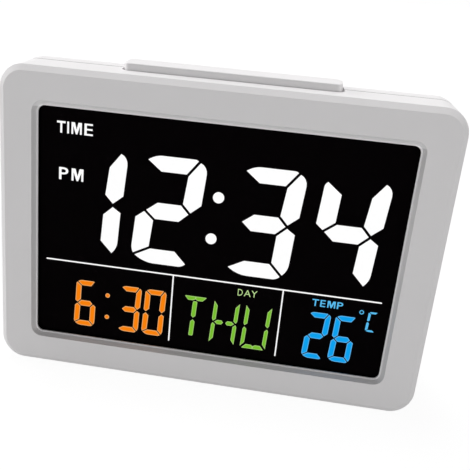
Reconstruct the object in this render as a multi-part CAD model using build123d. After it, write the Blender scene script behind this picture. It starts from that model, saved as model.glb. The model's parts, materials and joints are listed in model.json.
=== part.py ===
from build123d import *
import math
import os

# Desk alarm clock with a wide display, a level top and a face that leans back.
# Millimetres and degrees. +X is the viewer's right, +Y goes back, +Z is up.
# The origin is the middle of the footprint, on the surface that the feet rest on.

# Case
case_width = 165.0
case_height = 112.7
case_depth = 45.6
top_depth = 21.645
corner_radius = 9.0
wall = 2.2
face_plate = 2.4
face_chamfer = 2.0
face_chamfer_depth = 1.2
rear_edge_radius = 3.5
bezel_depth = 12.8
seam_groove = 0.35
tongue_thickness = 1.0
tongue_length = 1.5
tongue_clearance = 0.1
foot_proud = 0.8

# Display window and the stack behind it
window_side_edge = 14.15
window_low_edge = 12.7
window_high_edge = 13.42
window_corner = 2.5
window_slope = 1.65
ledge_width = 0.55
ledge_thickness = 0.5
lens_margin = 3.2
lens_thickness = 1.5
lens_corner = 2.0
adhesive_thickness = 0.2
adhesive_setback = 0.6
lcd_margin = 2.6
lcd_gap = 0.2
lcd_front_glass = 1.4
lcd_rear_glass = 1.2
lcd_ledge = 4.5
backlight_thickness = 2.0
reflector_thickness = 0.2
holder_rim = 0.9
holder_back = 1.2
pocket_clearance = 0.2
led_count = 6
led_length = 4.0
led_height = 1.8
led_strip_thickness = 0.6
strip_end_margin = 13.35
strip_thickness = 2.0
strip_clearance = 0.3

# Holder ears and their screws
ear_length = 6.6
ear_width = 9.0
ear_thickness = 2.0
ear_drop = 21.25
ear_rise = 22.75
small_boss_radius = 2.6
small_screw_radius = 1.1
small_head_radius = 2.2
small_head_height = 1.4
small_screw_length = 5.0
thread_clearance = 0.05
hole_clearance = 0.25

# Main board
board_side_margin = 5.35
board_high_margin = 10.1
board_thickness = 1.6
board_standoff = 2.1
board_low_margin = 3.0
board_hole_inset = 8.0
chip_radius = 9.0
chip_height = 2.2
chip_edge_radius = 1.8
crystal_radius = 1.5
crystal_length = 8.0
capacitor_radius = 2.6
capacitor_height = 5.5
capacitor_pitch = 8.0
capacitor_count = 3
component_inset = 21.0
component_rise = 2.65

# Snooze bar
bar_length = 79.0
bar_width = 10.0
bar_corner = 2.75
bar_proud = 2.5
bar_edge_radius = 0.6
bar_wall = 1.5
bar_end_gap = 0.9
bar_side_gap = 0.4
bar_lip = 1.0
bar_flange = 1.2
bar_travel = 1.2
bar_rib_thickness = 1.0
bar_rib_height = 2.5
bar_rib_place = 14.0
stop_gap = 0.3
stem_radius = 2.2
spring_place = 28.0
spring_radius = 2.2
spring_wire = 0.6
spring_turns = 6
spring_post_radius = 1.2
spring_post_length = 4.0
snooze_board_drop = 12.1
snooze_board_length = 98.0
snooze_board_width = 10.0
pillar_place = 44.5
pillar_setback = 3.2
switch_side = 6.0
switch_height = 3.5
plunger_radius = 1.7
plunger_proud = 1.5
plunger_clearance = 0.1

# Keys on the back, in one row with the alarm slide
key_names = ["mode_key", "set_key", "up_key", "down_key", "alarm_key"]
key_pitch = 18.0
key_row_drop = 24.7
key_row_start = -45.0
key_width = 9.0
key_height = 5.6
key_corner = 2.2
key_setback = 0.3
key_hole_gap = 0.3
key_lip = 1.0
key_flange = 1.1
key_travel = 1.0
key_stem_radius = 2.0
key_board_length = 127.0
key_board_height = 16.0
key_board_gap = 4.8
mat_thickness = 1.2
mat_collar = 0.6
mat_margin = 3.0
post_inset = 3.2

# Alarm slide
slide_place = 48.0
slide_travel = 3.0
thumb_width = 4.4
thumb_height = 5.0
slide_well_depth = 1.9
slide_well_margin = 1.6
slide_floor = 1.4
slide_gap = 0.3
slide_plate_thickness = 1.0
lever_side = 1.6
lever_in_thumb = 1.0
slide_switch_width = 9.0
slide_switch_height = 4.4
slide_switch_depth = 2.2

# Cells, their bay and the door over them
cell_names = ["battery_1", "battery_2", "battery_3"]
cell_radius = 5.25
cell_length = 44.5
cell_nub_radius = 1.9
cell_nub_length = 0.8
cell_pitch = 11.0
cell_stack_height = 24.5
cell_clearance = 0.3
bay_wall = 1.6
bay_side_clearance = 0.4
contact_thickness = 0.5
contact_side = 8.0
contact_bow = 3.6
contact_width = 5.0
cradle_place = 14.0
cradle_thickness = 1.6
cradle_height = 3.0
door_thickness = 1.9
door_gap = 0.35
door_ledge = 1.3
door_corner = 1.5
door_edge_radius = 0.4
hook_place = 15.0
hook_width = 6.0
hook_reach = 2.35
hook_thickness = 1.0
hook_rise = 2.2
hook_notch_depth = 3.0
latch_width = 12.0
latch_length = 9.0
latch_slit = 0.7
latch_nose = 1.0
latch_nose_thickness = 1.0
grip_depth = 0.7
grip_length = 6.0

# Socket, sounder and sensor
socket_side_inset = 22.5
socket_height = 20.0
socket_side = 9.0
socket_length = 10.0
socket_nose_radius = 4.0
socket_bore_radius = 1.8
socket_bore_depth = 8.0
socket_pin_radius = 0.65
socket_setback = 0.3
cradle_rib = 1.2
buzzer_side_inset = 24.5
buzzer_height = 24.0
buzzer_radius = 10.0
buzzer_thickness = 4.5
buzzer_rim = 1.2
buzzer_rim_height = 3.0
sound_hole_radius = 1.0
sound_ring_radius = 5.0
sound_hole_count = 6
sensor_radius = 1.6
sensor_drop = 8.0
sensor_lead_radius = 0.25
sensor_lead_gap = 1.2
sensor_lead_overlap = 1.5
vent_place = -50.0
vent_count = 4
vent_pitch = 3.0
vent_width = 1.3
vent_height = 9.0

# Case screws and feet
screw_side_inset = 5.9
screw_low = 10.0
screw_top_inset = 11.7
boss_radius = 3.9
screw_radius = 1.4
screw_length = 13.0
screw_head_radius = 2.7
screw_head_height = 2.0
counterbore_radius = 3.1
screw_seat = 6.0
recess_width = 0.9
recess_depth = 1.1
foot_radius = 4.0
foot_recess = 1.0
foot_side_inset = 16.5
front_foot_depth = 7.2
rear_foot_inset = 9.0
foot_edge_radius = 0.4

# Worked out from the values above
lean_tan = (case_depth - top_depth) / case_height
lean_sin = math.sin(math.atan(lean_tan))
lean_cos = math.cos(math.atan(lean_tan))
base_z = foot_proud
top_z = base_z + case_height
back_y = case_depth / 2
inner_back_y = back_y - wall
face_foot_y = -case_depth / 2 - face_chamfer * lean_sin
face_height = case_height / lean_cos
window_width = case_width - 2 * window_side_edge
window_height = face_height - window_low_edge - window_high_edge
window_middle = window_low_edge + window_height / 2
far_depth = 2 * case_depth
tongue_inset = wall - tongue_thickness

lens_front = face_plate + adhesive_thickness
lens_back = lens_front + lens_thickness
lens_width = window_width + 2 * lens_margin
lens_height = window_height + 2 * lens_margin
lcd_front = lens_back + lcd_gap
lcd_step = lcd_front + lcd_front_glass
lcd_back = lcd_step + lcd_rear_glass
lcd_width = window_width + 2 * lcd_margin
lcd_height = window_height + 2 * lcd_margin
lcd_low = window_middle - lcd_height / 2
lcd_high = window_middle + lcd_height / 2
backlight_front = lcd_back + lcd_gap
backlight_back = backlight_front + backlight_thickness
reflector_back = backlight_back + reflector_thickness
holder_depth = reflector_back + holder_back
holder_width = lens_width + 2 * holder_rim
holder_height = lens_height + 2 * holder_rim
strip_length = window_width - 2 * strip_end_margin
led_pitch = strip_length / (led_count - 1)
led_zone = led_height + led_strip_thickness + pocket_clearance
guide_low = lcd_low + lcd_ledge
guide_high = lcd_high + pocket_clearance - led_zone
board_front = holder_depth + board_standoff
board_back = board_front + board_thickness
strip_v = lcd_low + lcd_ledge / 2
board_low = strip_v - board_low_margin
main_board_width = window_width - 2 * board_side_margin
main_board_height = window_height - board_low_margin - board_high_margin
board_middle = board_low + main_board_height / 2
board_hole_x = main_board_width / 2 - board_hole_inset
board_hole_v = main_board_height / 2 - board_hole_inset
ear_x = holder_width / 2 + ear_length / 2
ear_low = window_middle - ear_drop
ear_high = window_middle + ear_rise
component_offset = main_board_width / 2 - component_inset
component_height = board_middle + component_rise
bar_foot_z = top_z - wall - stop_gap
bar_ceiling_z = top_z + bar_proud - bar_wall
snooze_board_top = top_z - snooze_board_drop
plunger_top = snooze_board_top + switch_height + plunger_proud
key_z = top_z - key_row_drop
key_xs = [key_row_start + i * key_pitch for i in range(len(key_names))]
key_board_back = inner_back_y - key_board_gap
key_board_front = key_board_back - board_thickness
key_flange_back = inner_back_y - stop_gap
key_flange_front = key_flange_back - key_flange
key_stem_end = key_board_back + key_travel + stop_gap
post_x = key_board_length / 2 - post_inset
post_z = key_board_height / 2 - post_inset
thumb_face = back_y - key_setback
slide_inner = back_y - slide_well_depth - slide_floor
slide_plate_back = slide_inner - slide_gap
slide_plate_front = slide_plate_back - slide_plate_thickness
lever_foot = key_board_back + slide_switch_depth
cell_y = back_y - door_thickness - stop_gap - cell_clearance - cell_radius
cell_zs = [base_z + cell_stack_height + (i - 1) * cell_pitch for i in range(len(cell_names))]
bay_height = 2 * (cell_pitch + cell_radius + bay_side_clearance)
bay_length = cell_length + contact_thickness + contact_bow + contact_thickness + 2 * bay_side_clearance
bay_floor_y = cell_y - cell_radius - cell_clearance
bay_z = base_z + cell_stack_height
opening_length = bay_length + 2 * door_ledge
opening_height = bay_height + 2 * door_ledge
door_length = opening_length - 2 * door_gap
door_height = opening_height - 2 * door_gap
door_low = bay_z - door_height / 2
vent_z = key_z - key_board_height / 2 - sensor_drop
socket_z = base_z + socket_height
buzzer_z = base_z + buzzer_height
screw_place = case_width / 2 - screw_side_inset
screw_high = case_height - screw_top_inset
foot_place = case_width / 2 - foot_side_inset
socket_place = case_width / 2 - socket_side_inset
buzzer_place = buzzer_side_inset - case_width / 2

FACE = Plane(origin=(0, face_foot_y, base_z), x_dir=(1, 0, 0), z_dir=(0, -lean_cos, lean_sin))


def face_y(depth, height):
    """The y of a point this far behind the face and this high above the case's base."""
    return face_foot_y + depth / lean_cos + height * lean_tan


bar_y = face_y(bezel_depth, case_height)
snooze_board_y = bar_y + bar_width / 2 + bar_lip - snooze_board_width / 2 + stop_gap
pillar_y = inner_back_y - pillar_setback


def plate(width, height, front, back, x=0.0, v=0.0, radius=0.0):
    """A plate parallel to the face, centred at x and at v up the face, between two depths."""
    outline = RectangleRounded(width, height, radius) if radius else Rectangle(width, height)
    return FACE * (Pos(x, v, -back) * extrude(outline, back - front))


def face_rod(radius, front, back, x, v):
    """A round rod square to the face, between two depths."""
    return FACE * (Pos(x, v, -back) * extrude(Circle(radius), back - front))


def rod_y(radius, y_front, y_back, x, z):
    """A round rod that runs straight back."""
    return Pos(x, y_back, z) * Rot(90, 0, 0) * extrude(Circle(radius), y_back - y_front)


def rod_z(radius, z_low, z_high, x, y):
    """An upright round rod."""
    return Pos(x, y, z_low) * extrude(Circle(radius), z_high - z_low)


def block(x_size, y_front, y_back, z_low, z_high, x=0.0):
    """A square block, centred at x, between two depths and two heights."""
    size = (x_size, y_back - y_front, z_high - z_low)
    return Pos(x, (y_front + y_back) / 2, (z_low + z_high) / 2) * Box(*size)


def back_plate(width, height, y_front, y_back, x, z, radius):
    """An upright plate with rounded corners, parallel to the back wall."""
    outline = RectangleRounded(width, height, radius)
    return Pos(x, y_back, z) * Rot(90, 0, 0) * extrude(outline, y_back - y_front)


def case_prism(inset):
    """The outline of the case, inset all round, run from the back wall past the face."""
    start = Plane(origin=(0, back_y, (base_z + top_z) / 2), x_dir=(1, 0, 0), z_dir=(0, -1, 0))
    width = case_width - 2 * inset
    height = case_height - 2 * inset
    outline = start * RectangleRounded(width, height, corner_radius - inset)
    return extrude(outline, case_depth + face_plate)


def between_depths(solid, front, back):
    """What of a solid lies between two planes parallel to the face."""
    slab = Box(2 * case_width, 4 * case_height, back - front)
    return solid & (FACE * (Pos(0, face_height / 2, -(front + back) / 2) * slab))


def screw(radius, length, head_radius, head_height, recess=False):
    """A screw along Z with its head's seat at zero and its shank below."""
    solid = extrude(Circle(head_radius), head_height) + extrude(Circle(radius), -length)
    if recess:
        bar = Box(2 * head_radius * 0.65, recess_width, 2 * recess_depth)
        cross = Pos(0, 0, head_height) * (bar + Rot(0, 0, 90) * bar)
        solid -= cross
    return solid


def small_screw():
    """One of the short screws that hold the holder and the boards."""
    return screw(small_screw_radius, small_screw_length, small_head_radius, small_head_height)


def corners(x, z_low, z_high):
    """Four places, left and right at two heights."""
    return [(side * x, z) for side in (-1, 1) for z in (z_low, z_high)]


case_screw_places = corners(screw_place, screw_low, screw_high)
ear_places = corners(ear_x, ear_low, ear_high)
board_places = corners(board_hole_x, board_middle - board_hole_v, board_middle + board_hole_v)
post_places = corners(post_x, key_z - post_z, key_z + post_z)


def window_outline(growth):
    """The window's rounded outline, grown all round."""
    return RectangleRounded(window_width + 2 * growth, window_height + 2 * growth, window_corner + growth)


def window_opening():
    """The opening in the face: it slopes in from the lip to a narrow ledge round the window."""
    lip = window_outline(window_slope)
    ledge = Pos(0, 0, ledge_thickness - face_plate) * window_outline(ledge_width)
    opening = loft([lip.face(), ledge.face()]) + extrude(window_outline(0), -2 * face_plate)
    return FACE * (Pos(0, window_middle, 0) * opening)


def snooze_slot():
    """The slot in the top wall that the snooze bar passes through."""
    length = bar_length + 2 * bar_end_gap
    width = bar_width + 2 * bar_side_gap
    outline = RectangleRounded(length, width, bar_corner + bar_side_gap)
    return Pos(0, bar_y, top_z - 2 * wall) * extrude(outline, 3 * wall)


def foot_places():
    """The middle of each foot: two under the bezel and two near the back wall."""
    front = face_y(front_foot_depth, 0)
    rear = back_y - rear_foot_inset
    return [(side * foot_place, y) for side in (-1, 1) for y in (front, rear)]


def foot_recesses():
    """The shallow round seats for the feet in the base."""
    seats = [rod_z(foot_radius, base_z - wall, base_z + foot_recess, x, y) for x, y in foot_places()]
    return Sketch() + seats


def front_bezel():
    """The front frame, with its window, bosses and the rebate for the rear cover."""
    shell = between_depths(case_prism(0), 0, bezel_depth)
    outward = Axis(FACE.origin, FACE.z_dir)
    front = shell.faces().sort_by(outward)[-1]
    shell = chamfer(front.edges(), face_chamfer, face_chamfer_depth, reference=front)
    shell = chamfer(shell.faces().sort_by(outward)[0].edges(), seam_groove)
    cavity = between_depths(case_prism(wall), face_plate, bezel_depth + wall)
    rebate_front = bezel_depth - tongue_length - tongue_clearance
    rebate = case_prism(tongue_inset - tongue_clearance) - case_prism(wall + tongue_clearance)
    rebate = between_depths(rebate, rebate_front, bezel_depth + wall)
    room = case_prism(wall / 2)
    bosses = [rod_y(boss_radius, -case_depth, back_y, x, base_z + z) for x, z in case_screw_places]
    bosses = [between_depths(boss & room, face_plate / 2, bezel_depth) for boss in bosses]
    ear_bosses = [
        face_rod(small_boss_radius, face_plate / 2, reflector_back + holder_back - ear_thickness, x, v)
        for x, v in ear_places
    ]
    pilots = [
        rod_y(screw_radius + thread_clearance, face_y(face_plate + wall, z), back_y, x, base_z + z)
        for x, z in case_screw_places
    ]
    pilots += [
        face_rod(small_screw_radius + thread_clearance, face_plate + 0.6, holder_depth, x, v)
        for x, v in ear_places
    ]
    shell = shell - cavity + bosses + ear_bosses
    return shell - rebate - pilots - window_opening() - snooze_slot() - foot_recesses()


def display_lens():
    """The clear pane that closes the window."""
    return plate(lens_width, lens_height, lens_front, lens_back, v=window_middle, radius=lens_corner)


def lens_adhesive():
    """The thin ring that fixes the pane behind the frame."""
    ring = plate(lens_width, lens_height, face_plate, lens_front, v=window_middle, radius=lens_corner)
    width = window_width + 2 * adhesive_setback
    height = window_height + 2 * adhesive_setback
    return ring - plate(width, height, 0, lens_back, v=window_middle, radius=window_corner)


def lcd_panel():
    """Two bonded glasses, the rear one shorter, which leaves a ledge for the contacts."""
    front = plate(lcd_width, lcd_height, lcd_front, lcd_step, v=window_middle)
    rear_height = lcd_height - lcd_ledge
    return front + plate(lcd_width, rear_height, lcd_step, lcd_back, v=window_middle + lcd_ledge / 2)


def guide_plate(front, back):
    """A plate of the light guide's size."""
    middle = (guide_low + guide_high) / 2
    return plate(lcd_width, guide_high - guide_low, front, back, v=middle)


def led_strip():
    """The narrow board that carries the lamps, on the holder's top rim."""
    low = guide_high + led_height
    high = lcd_high + pocket_clearance
    return plate(lcd_width, high - low, backlight_front, backlight_back, v=(low + high) / 2)


def backlight_leds():
    """The lamps along the top edge of the light guide."""
    first = -led_pitch * (led_count - 1) / 2
    lamps = [
        plate(led_length, led_height, backlight_front, backlight_back, first + i * led_pitch,
              guide_high + led_height / 2)
        for i in range(led_count)
    ]
    return Compound(children=lamps)


def display_holder():
    """The tray that presses the display stack against the pane and carries the main board."""
    tray = plate(holder_width, holder_height, lens_back, holder_depth, v=window_middle, radius=lens_corner)
    pocket_width = lcd_width + 2 * pocket_clearance
    pocket_height = lcd_height + 2 * pocket_clearance
    tray -= plate(pocket_width, pocket_height, lens_front, reflector_back, v=window_middle)
    tray -= plate(strip_length + 2 * strip_clearance, strip_thickness + 2 * strip_clearance,
                  lens_back, far_depth, v=strip_v)
    ears = [
        plate(ear_length + holder_rim, ear_width, holder_depth - ear_thickness, holder_depth,
              math.copysign(ear_x - holder_rim / 2, x), v)
        for x, v in ear_places
    ]
    ear_holes = [
        face_rod(small_screw_radius + hole_clearance, lens_back, far_depth, x, v) for x, v in ear_places
    ]
    posts = [face_rod(small_boss_radius, reflector_back, board_front, x, v) for x, v in board_places]
    post_holes = [
        face_rod(small_screw_radius + thread_clearance, reflector_back, far_depth, x, v)
        for x, v in board_places
    ]
    return tray + ears + posts - ear_holes - post_holes


def face_screws(places, seat, length):
    """Small screws square to the face, with their heads behind a seat."""
    solids = []
    for x, v in places:
        one = screw(small_screw_radius, length, small_head_radius, small_head_height)
        solids.append(FACE * (Pos(x, v, -seat) * Rot(180, 0, 0) * one))
    return Compound(children=solids)


def lcd_connector():
    """The rubber contact strip between the glass ledge and the main board."""
    return plate(strip_length, strip_thickness, lcd_step, board_front, v=strip_v)


def main_board():
    """The main circuit board, screwed to the holder's posts."""
    board = plate(main_board_width, main_board_height, board_front, board_back, v=board_middle, radius=2.0)
    holes = [
        face_rod(small_screw_radius + hole_clearance, holder_depth, far_depth, x, v)
        for x, v in board_places
    ]
    return board - holes


def control_chip():
    """The controller, under a round drop of black resin."""
    drop = face_rod(chip_radius, board_back, board_back + chip_height, 0, board_middle)
    rear = drop.faces().sort_by(Axis(FACE.origin, FACE.z_dir))[0]
    return fillet(rear.edges(), chip_edge_radius)


def clock_crystal():
    """The small can that keeps the time, lying on the main board."""
    can = Rot(0, 90, 0) * Cylinder(crystal_radius, crystal_length)
    return FACE * (Pos(-component_offset, component_height, -board_back - crystal_radius) * can)


def board_capacitors():
    """The upright capacitors behind the main board."""
    first = component_height - capacitor_pitch * (capacitor_count - 1) / 2
    cans = [
        face_rod(capacitor_radius, board_back, board_back + capacitor_height, component_offset,
                 first + i * capacitor_pitch)
        for i in range(capacitor_count)
    ]
    return Compound(children=cans)


def snooze_bar():
    """The long bar on the top: a hollow cap with a retaining lip, a stem and spring posts."""
    top = top_z + bar_proud
    cap = Pos(0, bar_y, bar_foot_z) * extrude(
        RectangleRounded(bar_length, bar_width, bar_corner), top - bar_foot_z
    )
    cap = fillet(cap.faces().sort_by(Axis.Z)[-1].edges(), bar_edge_radius)
    lip = RectangleRounded(bar_length + 2 * bar_lip, bar_width + 2 * bar_lip, bar_corner + bar_lip)
    cap += Pos(0, bar_y, bar_foot_z - bar_flange) * extrude(lip, bar_flange)
    hollow = RectangleRounded(bar_length - 2 * bar_wall, bar_width - 2 * bar_wall, bar_corner - bar_wall)
    cap -= Pos(0, bar_y, bar_foot_z - bar_flange) * extrude(hollow, bar_ceiling_z - bar_foot_z + bar_flange)
    for side in (-1, 1):
        rib_low = bar_ceiling_z - bar_rib_height
        front = bar_y - bar_width / 2 + bar_wall / 2
        back = bar_y + bar_width / 2 - bar_wall / 2
        cap += block(bar_rib_thickness, front, back, rib_low, bar_ceiling_z + bar_wall / 2,
                     side * bar_rib_place)
        post_low = bar_ceiling_z - spring_post_length
        cap += rod_z(spring_post_radius, post_low, bar_ceiling_z + bar_wall / 2, side * spring_place, bar_y)
    return cap + rod_z(stem_radius, plunger_top, bar_ceiling_z + bar_wall / 2, 0, bar_y)


def snooze_springs():
    """The two coil springs that lift the snooze bar."""
    length = bar_ceiling_z - snooze_board_top - spring_wire
    path = Helix(pitch=length / spring_turns, height=length, radius=spring_radius)
    section = Plane(origin=path @ 0, z_dir=path % 0) * Circle(spring_wire / 2)
    coil = sweep(section, path, is_frenet=True)
    springs = [
        Pos(side * spring_place, bar_y, snooze_board_top + spring_wire / 2) * coil for side in (-1, 1)
    ]
    return Compound(children=springs)


def snooze_board():
    """The narrow board under the snooze bar, hung from the rear cover's pillars."""
    front = snooze_board_y - snooze_board_width / 2
    back = snooze_board_y + snooze_board_width / 2
    board = block(snooze_board_length, front, back, snooze_board_top - board_thickness, snooze_board_top)
    for side in (-1, 1):
        board -= rod_z(small_screw_radius + hole_clearance, snooze_board_top - 2 * board_thickness,
                       top_z, side * pillar_place, pillar_y)
    return board


def snooze_board_screws():
    """The screws that go up through the snooze board into its pillars."""
    seat = snooze_board_top - board_thickness
    solids = [
        Pos(side * pillar_place, pillar_y, seat) * Rot(180, 0, 0) * small_screw() for side in (-1, 1)
    ]
    return Compound(children=solids)


def snooze_switch():
    """The push switch under the middle of the snooze bar, with the well of its plunger."""
    top = snooze_board_top + switch_height
    front = bar_y - switch_side / 2
    back = bar_y + switch_side / 2
    body = block(switch_side, front, back, snooze_board_top, top)
    well = plunger_radius + plunger_clearance
    return body - rod_z(well, top - bar_travel - 2 * stop_gap - plunger_proud / 2, top + wall, 0, bar_y)


def snooze_plunger():
    """The switch's plunger, which the bar's stem stands on."""
    low = snooze_board_top + switch_height - plunger_proud / 2
    return rod_z(plunger_radius, low, plunger_top, 0, bar_y)


def key_cap(x):
    """One key: a cap through the back wall, an inner lip and a contact stem."""
    cap = back_plate(key_width, key_height, key_flange_front, thumb_face, x, key_z, key_corner)
    rear = cap.faces().sort_by(Axis.Y)[-1]
    cap = fillet(rear.edges(), key_setback)
    lip_width = key_width + 2 * key_lip
    lip_height = key_height + 2 * key_lip
    cap += back_plate(lip_width, lip_height, key_flange_front, key_flange_back, x, key_z, key_corner)
    return cap + rod_y(key_stem_radius, key_stem_end, key_flange_front, x, key_z)


def key_mat():
    """The rubber mat on the key board, with a collar round each key's stem."""
    length = key_xs[-1] - key_xs[0] + key_width + 2 * mat_margin
    middle = (key_xs[0] + key_xs[-1]) / 2
    back = key_board_back + mat_thickness
    mat = back_plate(length, key_height + 2 * mat_margin, key_board_back, back, middle, key_z, key_corner)
    collars = [rod_y(key_stem_radius + 3 * key_hole_gap, back, back + mat_collar, x, key_z) for x in key_xs]
    holes = [rod_y(key_stem_radius + key_hole_gap, key_board_front, back_y, x, key_z) for x in key_xs]
    return mat + collars - holes


def key_board():
    """The upright board behind the keys, screwed to posts on the back wall."""
    low = key_z - key_board_height / 2
    board = block(key_board_length, key_board_front, key_board_back, low, low + key_board_height)
    hole = small_screw_radius + hole_clearance
    holes = [rod_y(hole, key_board_front - wall, back_y, x, z) for x, z in post_places]
    return board - holes


def key_board_screws():
    """The screws that hold the key board."""
    solids = [Pos(x, key_board_front, z) * Rot(90, 0, 0) * small_screw() for x, z in post_places]
    return Compound(children=solids)


def alarm_slide_knob():
    """The thumb piece of the alarm slide, with the inner plate that keeps it in its slot."""
    thumb = back_plate(thumb_width, thumb_height, slide_plate_front, thumb_face, slide_place, key_z, 0.8)
    plate_width = thumb_width + 2 * slide_travel + 2 * slide_gap
    plate_height = thumb_height + 2 * slide_gap + 2 * key_lip
    thumb += back_plate(plate_width, plate_height, slide_plate_front, slide_plate_back,
                        slide_place, key_z, 0.8)
    half = thumb_width / 4
    for shift in (-half, 0, half):
        groove = block(half / 3, thumb_face - key_setback, back_y, key_z - thumb_height,
                       key_z + thumb_height, slide_place + shift)
        thumb -= groove
    pocket = lever_side + 2 * plunger_clearance
    low = key_z - pocket / 2
    return thumb - block(pocket, key_board_back, slide_plate_front + lever_in_thumb, low, low + pocket,
                         slide_place)


def slide_switch_lever():
    """The switch's lever, which sits in the thumb piece and moves with it."""
    low = key_z - lever_side / 2
    front = lever_foot - slide_switch_depth / 2
    return block(lever_side, front, slide_plate_front + lever_in_thumb - plunger_clearance, low,
                 low + lever_side, slide_place)


def slide_switch():
    """The body of the alarm slide's switch on the key board."""
    low = key_z - slide_switch_height / 2
    body = block(slide_switch_width, key_board_back, lever_foot, low, low + slide_switch_height,
                 slide_place + slide_travel / 2)
    slot_half = lever_side / 2 + stop_gap
    slot = block(slide_travel + 2 * slot_half, lever_foot - slide_switch_depth / 2 - stop_gap, back_y,
                 key_z - slot_half, key_z + slot_half, slide_place + slide_travel / 2)
    return body - slot


def slide_well(margin, y_front, y_back):
    """A rounded pocket over the thumb piece's whole travel, this much wider all round."""
    width = thumb_width + slide_travel + 2 * margin
    height = thumb_height + 2 * margin
    return back_plate(width, height, y_front, y_back, slide_place + slide_travel / 2, key_z, 0.8)


def bay_shell():
    """The walls of the cell bay, inside the back wall."""
    low = bay_z - bay_height / 2 - bay_wall
    high = bay_z + bay_height / 2 + bay_wall
    outer = block(bay_length + 2 * bay_wall, bay_floor_y - bay_wall, inner_back_y, low, high)
    return outer


def bay_hollow():
    """The space for the cells."""
    low = bay_z - bay_height / 2
    return block(bay_length, bay_floor_y, inner_back_y, low, low + bay_height)


def cell_room(z):
    """The round space that one cell takes up, with its clearance."""
    return Pos(0, cell_y, z) * Rot(0, 90, 0) * Cylinder(cell_radius + cell_clearance, bay_length)


def bay_cradles():
    """The curved ribs on the bay's floor that the cells lie against."""
    ribs = Part()
    for side in (-1, 1):
        low = bay_z - bay_height / 2 - bay_wall / 2
        ribs += block(cradle_thickness, bay_floor_y - bay_wall / 2, bay_floor_y + cradle_height, low,
                      low + bay_height + bay_wall, side * cradle_place)
    for z in cell_zs:
        ribs -= cell_room(z)
    return ribs


def door_opening():
    """The opening in the back wall for the battery door, with the latch's notch."""
    opening = back_plate(opening_length, opening_height, inner_back_y, back_y + wall, 0, bay_z, door_corner)
    top = bay_z + opening_height / 2
    notch_width = latch_width + 2 * door_gap
    return opening + block(notch_width, inner_back_y, back_y + wall, bay_z, top + latch_nose)


def hook_notches():
    """The gaps in the bay's lower wall that the door's hooks swing through."""
    low = bay_z - bay_height / 2
    width = hook_width + 2 * door_gap
    return [
        block(width, inner_back_y - hook_notch_depth, inner_back_y, low - 2 * bay_wall, low + bay_wall / 2,
              side * hook_place)
        for side in (-1, 1)
    ]


def socket_cradle():
    """The ribs that hold the power socket's body."""
    depth = inner_back_y - socket_length * 0.8
    half = socket_side / 2 + plunger_clearance
    ribs = [
        block(cradle_rib, depth, back_y - wall / 2, socket_z - half - cradle_rib, socket_z + half / 2,
              socket_place + side * (half + cradle_rib / 2))
        for side in (-1, 1)
    ]
    ribs.append(block(2 * half + cradle_rib, depth, back_y - wall / 2, socket_z - half - cradle_rib,
                      socket_z - half, socket_place))
    return ribs


def sound_places():
    """The middle of each sound hole: one in the centre and a ring round it."""
    places = [(buzzer_place, buzzer_z)]
    for i in range(sound_hole_count):
        turn = 2 * math.pi * i / sound_hole_count
        places.append((buzzer_place + sound_ring_radius * math.cos(turn),
                       buzzer_z + sound_ring_radius * math.sin(turn)))
    return places


def back_holes():
    """Every small hole through the back wall: keys, slide, socket, sound and air."""
    key_hole = (key_width + 2 * key_hole_gap, key_height + 2 * key_hole_gap)
    inside = inner_back_y - wall
    holes = [
        back_plate(*key_hole, inside, back_y + wall, x, key_z, key_corner + key_hole_gap) for x in key_xs
    ]
    holes.append(slide_well(slide_well_margin, back_y - slide_well_depth, back_y + wall))
    holes.append(slide_well(slide_gap, inside, back_y))
    holes.append(rod_y(socket_nose_radius + hole_clearance, inside, back_y + wall, socket_place, socket_z))
    holes += [rod_y(sound_hole_radius, inside, back_y + wall, x, z) for x, z in sound_places()]
    first = vent_place - vent_pitch * (vent_count - 1) / 2
    holes += [
        back_plate(vent_width, vent_height, inside, back_y + wall, first + i * vent_pitch, vent_z,
                   vent_width * 0.45)
        for i in range(vent_count)
    ]
    return holes


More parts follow.
